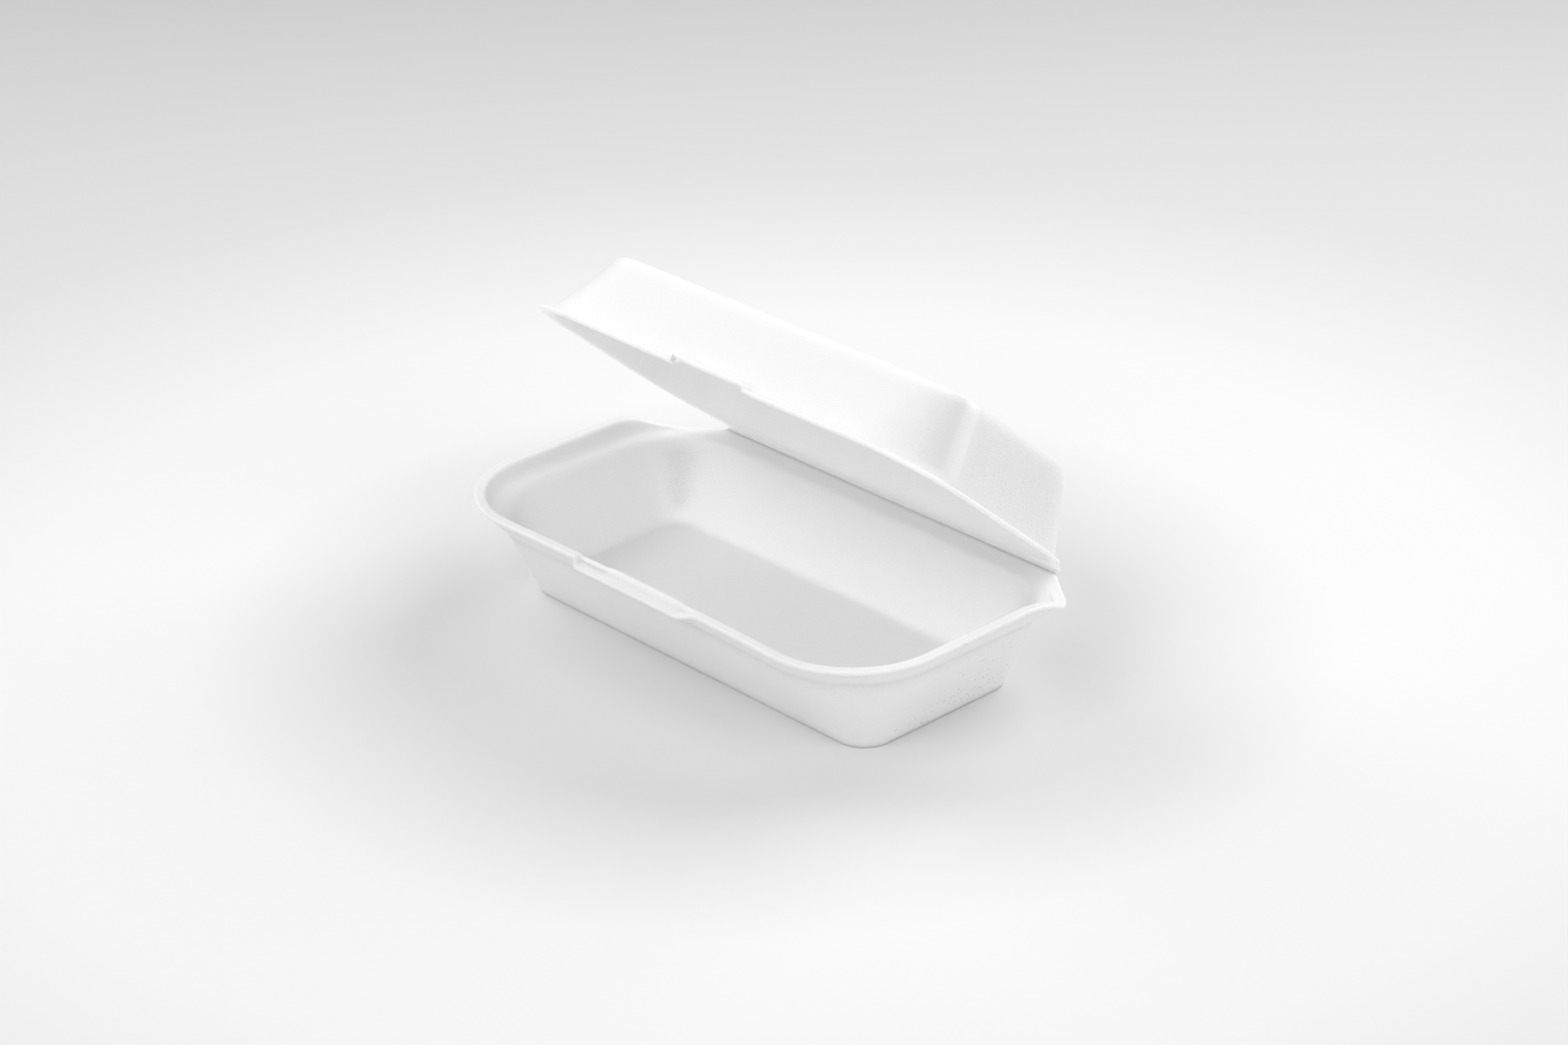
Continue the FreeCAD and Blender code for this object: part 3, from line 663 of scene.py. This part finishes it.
def place_mask_group():
    """1 around a place and 0 away from it, with a soft edge; the reach is set for each axis."""
    group, enter, leave = new_group(
        "place_mask",
        [("Place", "Vector", None), ("Middle", "Vector", (0.0, 0.0, 0.0)),
         ("Reach", "Vector", (0.01, 0.01, 0.01))],
        [("Mask", "Float")])
    away = add(group, "ShaderNodeVectorMath", operation="SUBTRACT")
    share = add(group, "ShaderNodeVectorMath", operation="DIVIDE")
    length = add(group, "ShaderNodeVectorMath", operation="LENGTH")
    soft = add(group, "ShaderNodeMapRange", interpolation_type="SMOOTHSTEP",
               sockets={"From Min": 0.6, "From Max": 1.0, "To Min": 1.0, "To Max": 0.0})
    group.links.new(enter.outputs["Place"], away.inputs[0])
    group.links.new(enter.outputs["Middle"], away.inputs[1])
    group.links.new(away.outputs[0], share.inputs[0])
    group.links.new(enter.outputs["Reach"], share.inputs[1])
    group.links.new(share.outputs[0], length.inputs[0])
    group.links.new(length.outputs["Value"], soft.inputs["Value"])
    group.links.new(soft.outputs[0], leave.inputs["Mask"])
    return group


def pits_group():
    """Scattered pinholes, as where the foam's skin is scuffed."""
    group, enter, leave = new_group(
        "pits", [("Place", "Vector", None), ("Pits per Metre", "Float", 800.0), ("Share", "Float", 0.5)],
        [("Mask", "Float")])
    cells = add(group, "ShaderNodeTexVoronoi", feature="F1")
    group.links.new(enter.outputs["Place"], cells.inputs["Vector"])
    group.links.new(enter.outputs["Pits per Metre"], cells.inputs["Scale"])
    inside = add(group, "ShaderNodeMapRange", interpolation_type="SMOOTHSTEP",
                 sockets={"From Min": 0.12, "From Max": 0.24, "To Min": 1.0, "To Max": 0.0})
    group.links.new(cells.outputs["Distance"], inside.inputs["Value"])
    parts = add(group, "ShaderNodeSeparateColor")
    group.links.new(cells.outputs["Color"], parts.inputs[0])
    kept = math_node(group, "LESS_THAN", parts.outputs[0], enter.outputs["Share"])
    group.links.new(math_node(group, "MULTIPLY", inside.outputs[0], kept), leave.inputs["Mask"])
    return group


FOAM_CELLS = foam_cells_group()
PLACE_MASK = place_mask_group()
PITS = pits_group()


def use_group(tree, group, place, **numbers):
    """A shader group in a material, with its own values."""
    node = tree.nodes.new("ShaderNodeGroup")
    node.node_tree = group
    tree.links.new(place, node.inputs["Place"])
    for label, number in numbers.items():
        node.inputs[label.replace("_", " ")].default_value = number
    return node


def surface_mark(tree, word):
    """The value that a skin's vertices hold under a word."""
    node = tree.nodes.new("ShaderNodeAttribute")
    node.attribute_name = word
    return node.outputs["Fac"]


def mixed(tree, share, first, second):
    """One colour fading to another by a share; each is a socket or a plain colour."""
    node = tree.nodes.new("ShaderNodeMix")
    node.data_type = "RGBA"
    tree.links.new(share, node.inputs["Factor"])
    for label, item in (("A", first), ("B", second)):
        socket = next(i for i in node.inputs if i.name == label and i.type == "RGBA")
        if isinstance(item, tuple):
            socket.default_value = (*item, 1.0)
        else:
            tree.links.new(item, socket)
    return next(o for o in node.outputs if o.type == "RGBA")


def foam_material(name, depth, spread, scuffs=()):
    """White foam sheet with a smooth skin over fine cells, which lets some light through.

    The light reaches a depth in metres, and the spread says how much of it does. The skins' marks
    say where the foam is stretched, where shade is painted, and where it is grainy or cut; scuffs are
    places with pinholes.
    """
    material = bpy.data.materials.new(name)
    material.use_nodes = True
    tree = material.node_tree
    shader = tree.nodes["Principled BSDF"]
    shader.inputs["IOR"].default_value = 1.45
    shader.inputs["Subsurface Weight"].default_value = spread
    shader.inputs["Subsurface Radius"].default_value = (1.0, 1.0, 1.0)
    shader.inputs["Subsurface Scale"].default_value = depth
    place = tree.nodes.new("ShaderNodeTexCoord").outputs["Object"]
    cells = use_group(tree, FOAM_CELLS, place)
    stretch_and_shade = surface_mark(tree, "stretch_and_shade")
    grain = surface_mark(tree, "grain")
    cut = surface_mark(tree, "cut")
    tones = add(tree, "ShaderNodeValToRGB")
    for stop, position, tone in zip(tones.color_ramp.elements, (0.3, 0.72), SKIN_TONES):
        stop.position = position
        stop.color = (*grey(tone), 1.0)
    tree.links.new(cells.outputs["Tone"], tones.inputs["Fac"])
    speckle = add(tree, "ShaderNodeTexNoise",
                  sockets={"Scale": SPECKLES_PER_METRE, "Detail": 2.0, "Roughness": 0.7})
    tree.links.new(place, speckle.inputs["Vector"])
    dark = add(tree, "ShaderNodeMapRange",
               sockets={"From Min": 0.4, "From Max": 0.6, "To Min": 1.0, "To Max": 0.0})
    tree.links.new(speckle.outputs[0], dark.inputs["Value"])
    speckled = mixed(tree, dark.outputs[0], grey(SPECKLE_TONES[0]), grey(SPECKLE_TONES[1]))
    colour = mixed(tree, grain, tones.outputs["Color"], speckled)
    # Stretched places and painted shade both go darker grey
    colour = mixed(tree, math_node(tree, "MULTIPLY", stretch_and_shade, 0.9), colour, grey(STRETCH_AND_SHADE_TONE))
    colour = mixed(tree, math_node(tree, "MULTIPLY", cut, 0.3), colour, grey(CUT_TONE))
    height = math_node(tree, "MULTIPLY", cells.outputs["Height"], math_node(tree, "ADD", grain, 0.3))
    for middle, reach, share in scuffs:
        near = use_group(tree, PLACE_MASK, place, Middle=middle, Reach=reach)
        pits = use_group(tree, PITS, place, Share=share)
        shown = math_node(tree, "MULTIPLY", near.outputs["Mask"], pits.outputs["Mask"])
        colour = mixed(tree, math_node(tree, "MULTIPLY", shown, 0.75), colour, PINHOLE_COLOUR)
        height = math_node(tree, "SUBTRACT", height, math_node(tree, "MULTIPLY", shown, 2.5))
    tree.links.new(colour, shader.inputs["Base Color"])
    rough = math_node(tree, "ADD", math_node(tree, "MULTIPLY", cut, 0.3), 0.46)
    tree.links.new(rough, shader.inputs["Roughness"])
    bumps = add(tree, "ShaderNodeBump", sockets={"Strength": 0.5, "Distance": BUMP_DEPTH})
    tree.links.new(height, bumps.inputs["Height"])
    tree.links.new(bumps.outputs["Normal"], shader.inputs["Normal"])
    return material


def round_from_front(index):
    """Steps round from the front's end, on either side; None along the front and the crease."""
    for step in (index - len(FRONT), len(FRONT) + 2 * SIDE_COUNT + CREASE_STEPS - 2 - index):
        if 0 <= step < SIDE_COUNT:
            return step
    return None


def corner_stretch(index):
    """The foam is thinner and duller down the middle of each corner."""
    step = round_from_front(index)
    if step is None:
        return 0.0
    front = bump((step + 1) / CORNER_STEPS, 0.5, 0.22)
    back = bump((step + 1 - CORNER_STEPS - SIDE_STEPS) / BACK_CORNER_STEPS, 0.5, 0.2)
    return max(front, back)


def tray_stretch_and_shade(station, index):
    """Painted shade at the wall's bend, under the rim's edge and on its top, and stretched bands down the
    cavity's corners.
    """
    down = station - 9.0
    if 0.0 <= down <= 1.0:
        band = smooth_step(down, 0.0, 0.25) * (1.0 - smooth_step(down, 0.75, 1.0))
        return 0.42 * corner_stretch(index) * band
    if station >= 5.0:
        # Painted shade on the rim's top, which dims its highlight
        return 0.28 * bump(station, 6.4, 0.5)
    # Painted shade: a line at the wall's bend and a shadow under the rim's cut edge
    return max(0.4 * bump(station, 2.0, 0.12), 0.7 * bump(station, 4.6, 0.5))


def tray_grain(station, index):
    return 0.14 + 0.6 * tray_stretch_and_shade(station, index)


def tray_cut(station, index):
    return 1.0 if 4.5 <= station <= 6.0 else 0.0


def lid_stretch_and_shade(station, index):
    if 5.0 <= station <= 8.0:
        down = smooth_step(station, 7.0, 7.4) * (1.0 - smooth_step(station, 7.7, 8.0))
        return 0.2 * corner_stretch(index) * down
    # Painted shade along the top's rounded edge round the right end, and in the pressed corner band
    edge_shade = 0.4 * bump(station, 1.0, 0.08) * smooth_step(corner_share(index), 0.5, 0.7)
    return max(lid_pinch(station, index), edge_shade if corner_share(index) < 2.2 else 0.0)


def lid_grain(station, index):
    """The right end wall is dull and grainy, the front smooth."""
    if 1.0 <= station <= 2.0:
        share = corner_share(index)
        back = corner_share(index - SIDE_STEPS - BACK_CORNER_STEPS)
        end_wall = smooth_step(share, 0.85, 1.0) * (1.0 - smooth_step(back, 1.0, 1.2))
        return max(0.12, 0.42 * end_wall, 0.7 * lid_pinch(station, index))
    return 0.14


def lid_cut(station, index):
    return 1.0 if 3.0 <= station <= 4.0 else 0.0


# Scuffed places: middle and reach in metres, and the share of the cells there that are pinholes
SCUFFED_FOOT = ((0.0785, 0.008, 0.003), (0.009, 0.044, 0.010), 0.75)
SCUFFED_SIDE = ((0.083, 0.022, 0.013), (0.012, 0.034, 0.014), 0.24)
SCUFFED_RIM = ((0.0945, 0.012, 0.0345), (0.004, 0.045, 0.006), 0.12)

TRAY_FOAM = foam_material("tray_foam", 0.004, 0.9, (SCUFFED_FOOT, SCUFFED_SIDE, SCUFFED_RIM))
LID_FOAM = foam_material("lid_foam", 0.012, 1.0)
CREASE_FOAM = foam_material("crease_foam", 0.008, 1.0)

tray_skin = finish_shape(
    skin_from_rings(tray_rings(), {"stretch_and_shade": tray_stretch_and_shade, "grain": tray_grain, "cut": tray_cut}),
    "tray_skin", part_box("tray"), TRAY_FOAM)
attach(tray_skin, "tray")
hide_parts("tray")

lid_skin = finish_shape(
    skin_from_rings(lid_rings(), {"stretch_and_shade": lid_stretch_and_shade, "grain": lid_grain, "cut": lid_cut}),
    "lid_skin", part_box("lid"), LID_FOAM)
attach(lid_skin, "lid")
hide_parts("lid")

crease_strip = finish_shape(crease_shape(), "crease_strip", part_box("tray"), CREASE_FOAM)
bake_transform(crease_strip)


# Table, light and camera

# The table lies this far under the foot, in metres
TABLE_GAP = 0.00005
# Distance from the box in metres, and how light the table is there in grey and in blue
# The low tones near the box, down to 0.72 at 0.11, are painted shadow round it, and the fall to 0.50 far
# away is painted shade
TABLE_SHADE_TONES = ((0.07, 0.77, 0.77), (0.11, 0.72, 0.722), (0.18, 0.83, 0.832), (0.25, 0.81, 0.812),
               (0.4, 0.66, 0.662), (0.8, 0.50, 0.505))


def plain_material(name, colour, roughness):
    material = bpy.data.materials.new(name)
    material.use_nodes = True
    shader = material.node_tree.nodes["Principled BSDF"]
    shader.inputs["Base Color"].default_value = (*colour, 1.0)
    shader.inputs["Roughness"].default_value = roughness
    shader.inputs["Specular IOR Level"].default_value = 0.2
    return material


def make_table():
    """A wide pale table with painted shade: darker in a ring round the box for its shadow, and darkest
    far away.
    """
    shape = bmesh.new()
    bmesh.ops.create_grid(shape, x_segments=4, y_segments=4, size=6.0)
    bmesh.ops.translate(shape, vec=(0.0, 0.0, -TABLE_GAP), verts=shape.verts)
    mesh = bpy.data.meshes.new("table_top")
    shape.to_mesh(mesh)
    shape.free()
    material = plain_material("pale_table", (0.85, 0.85, 0.85), 0.8)
    tree = material.node_tree
    place = tree.nodes.new("ShaderNodeTexCoord").outputs["Object"]
    away = add(tree, "ShaderNodeVectorMath", operation="LENGTH")
    tree.links.new(place, away.inputs[0])
    tones = add(tree, "ShaderNodeValToRGB")
    stops = tones.color_ramp.elements
    stops.remove(stops[1])
    for index, (distance, level, blue) in enumerate(TABLE_SHADE_TONES):
        stop = stops.new(distance) if index else stops[0]
        stop.position = distance
        stop.color = (level, level, blue, 1.0)
    tree.links.new(away.outputs["Value"], tones.inputs["Fac"])
    tree.links.new(tones.outputs["Color"], tree.nodes["Principled BSDF"].inputs["Base Color"])
    mesh.materials.append(material)
    table = bpy.data.objects.new("table_top", mesh)
    bpy.context.scene.collection.objects.link(table)


def make_lamp(name, place, target, size, power):
    lamp = bpy.data.lights.new(name, "AREA")
    lamp.shape = "DISK"
    lamp.size = size
    lamp.energy = power
    item = bpy.data.objects.new(name, lamp)
    item.location = place
    item.rotation_euler = (Vector(target) - Vector(place)).to_track_quat("-Z", "Y").to_euler()
    bpy.context.scene.collection.objects.link(item)


def make_world(level, backdrop):
    world = bpy.data.worlds.new("studio")
    bpy.context.scene.world = world
    world.use_nodes = True
    tree = world.node_tree
    tree.nodes.clear()
    path = tree.nodes.new("ShaderNodeLightPath")
    seen = math_node(tree, "MAXIMUM", path.outputs["Is Camera Ray"], path.outputs["Is Glossy Ray"])
    seen = math_node(tree, "MAXIMUM", seen, path.outputs["Is Transmission Ray"])
    white = (1.0, 1.0, 1.0, 1.0)
    pale = (backdrop, backdrop, backdrop, 1.0)
    around = add(tree, "ShaderNodeBackground", sockets={"Color": white, "Strength": level})
    behind = add(tree, "ShaderNodeBackground", sockets={"Color": pale, "Strength": 1.0})
    mix = tree.nodes.new("ShaderNodeMixShader")
    out = tree.nodes.new("ShaderNodeOutputWorld")
    tree.links.new(seen, mix.inputs["Fac"])
    tree.links.new(around.outputs[0], mix.inputs[1])
    tree.links.new(behind.outputs[0], mix.inputs[2])
    tree.links.new(mix.outputs[0], out.inputs["Surface"])


def make_camera():
    """The camera stands front right of the box and looks a little down on it."""
    azimuth, elevation, roll = (math.radians(angle) for angle in (46.38, 26.40, -0.42))
    distance = 1188.4
    target = Vector((6.61, 1.60, 40.0))
    back = Vector((math.sin(azimuth) * math.cos(elevation), -math.cos(azimuth) * math.cos(elevation),
                   math.sin(elevation)))
    right = (-back).cross(Vector((0.0, 0.0, 1.0))).normalized()
    up = back.cross(right)
    across = right * math.cos(roll) + up * math.sin(roll)
    upward = -right * math.sin(roll) + up * math.cos(roll)
    place = (target + back * distance) * MM
    matrix = Matrix((across, upward, back)).transposed().to_4x4()
    matrix.translation = place
    camera = bpy.data.cameras.new("camera")
    camera.sensor_fit = "HORIZONTAL"
    camera.sensor_width = 36.0
    camera.lens = 88.32
    camera.clip_start = 0.01
    item = bpy.data.objects.new("camera", camera)
    item.matrix_world = matrix
    bpy.context.scene.collection.objects.link(item)
    bpy.context.scene.camera = item


make_table()
make_world(0.22, 0.83)
BOX_MIDDLE = (0.0, 0.0, 0.03)
make_lamp("front_softbox", (0.1, -0.93, 0.85), BOX_MIDDLE, 1.0, 6.9)
make_lamp("left_softbox", (-0.95, -0.1, 0.8), BOX_MIDDLE, 1.0, 6.1)
make_lamp("right_softbox", (1.0, 0.1, 0.7), BOX_MIDDLE, 1.0, 4.2)
make_lamp("back_softbox", (0.1, 0.95, 0.8), BOX_MIDDLE, 1.0, 8.7)
make_camera()
bpy.context.scene.view_settings.view_transform = "Standard"
